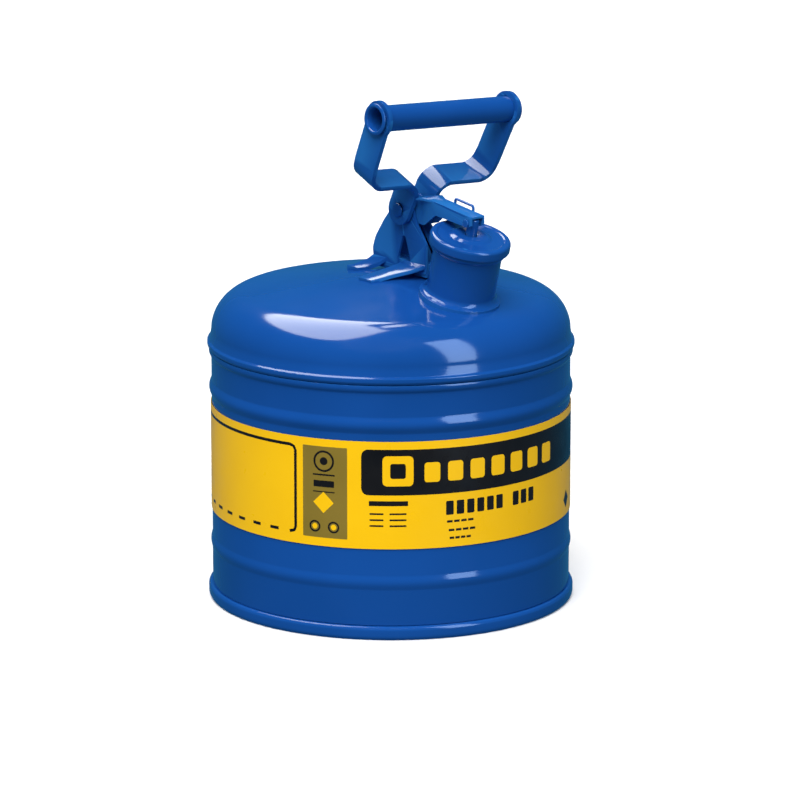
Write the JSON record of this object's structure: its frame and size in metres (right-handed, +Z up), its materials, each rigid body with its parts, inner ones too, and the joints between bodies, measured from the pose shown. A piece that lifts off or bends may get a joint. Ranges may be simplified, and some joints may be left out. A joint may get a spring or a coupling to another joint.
{
  "type": "safety gas can",
  "caption": "Round steel safety can with a domed top, a sprung self-closing lid on a tilted spout, a swinging strap handle with a tube grip, and a yellow wrap label.",
  "frame": {"origin": "centre of the base, on the plane that the bottom chime rests on", "axes": "+Z up the can's axis, +X towards the spout, +Y to the left of someone looking along +X"},
  "size_m": [0.2414, 0.2414, 0.3423],
  "materials": {
    "blue_paint": "high-gloss blue powder coat over sheet steel",
    "label_print": null,
    "gasket_rubber": "black moulded rubber",
    "plated_steel": "bright zinc-plated steel",
    "spring_steel": "dark oiled spring steel",
    "arrester_brass": "plain brass",
    "screen_mesh": "stainless wire mesh"
  },
  "bodies": {
    "can": {"body_shell": "blue_paint", "bottom_pan": "blue_paint", "dome_top": "blue_paint", "label_band": "label_print", "spout_neck": "blue_paint", "arrester_collar": "arrester_brass", "arrester_outer_screen": "screen_mesh", "arrester_inner_screen": "screen_mesh", "arrester_end_cap": "arrester_brass", "pivot_bracket": "blue_paint", "hinge_pin": "blue_paint", "pin_washer": "plated_steel", "pin_retainer": "spring_steel", "lid_spring": "spring_steel"},
    "lever": {"lid_lever": "blue_paint", "lid_cross_pin": "blue_paint", "wire_clip": "blue_paint"},
    "lid": {"lid_cap": "blue_paint", "lid_gasket": "gasket_rubber", "gasket_retainer": "plated_steel", "lid_stud": "blue_paint"},
    "handle": {"handle_strap_left": "blue_paint", "handle_strap_right": "blue_paint", "grip_tube": "blue_paint"}
  },
  "joints": [
    {"name": "lid_open", "type": "hinge", "parent": "can", "child": "lever", "pos_m": [0.0205, 0, 0.262], "axis": [0, -1, 0], "range_deg": [0, 55], "stiffness_Nm_per_rad": 0.35, "springref_deg": -57.3},
    {"name": "handle_swing", "type": "hinge", "parent": "lever", "child": "handle", "pos_m": [0.0205, 0, 0.262], "axis": [0, -1, 0], "range_deg": [0, 60]},
    {"name": "lid_tilt", "type": "hinge", "parent": "lever", "child": "lid", "pos_m": [0.08401, 0, 0.26264], "axis": [0, -1, 0], "range_deg": [-5, 0]}
  ],
  "couplings": [
    {"joint": "lid_tilt", "follows": "lid_open", "ratio": -0.06}
  ]
}
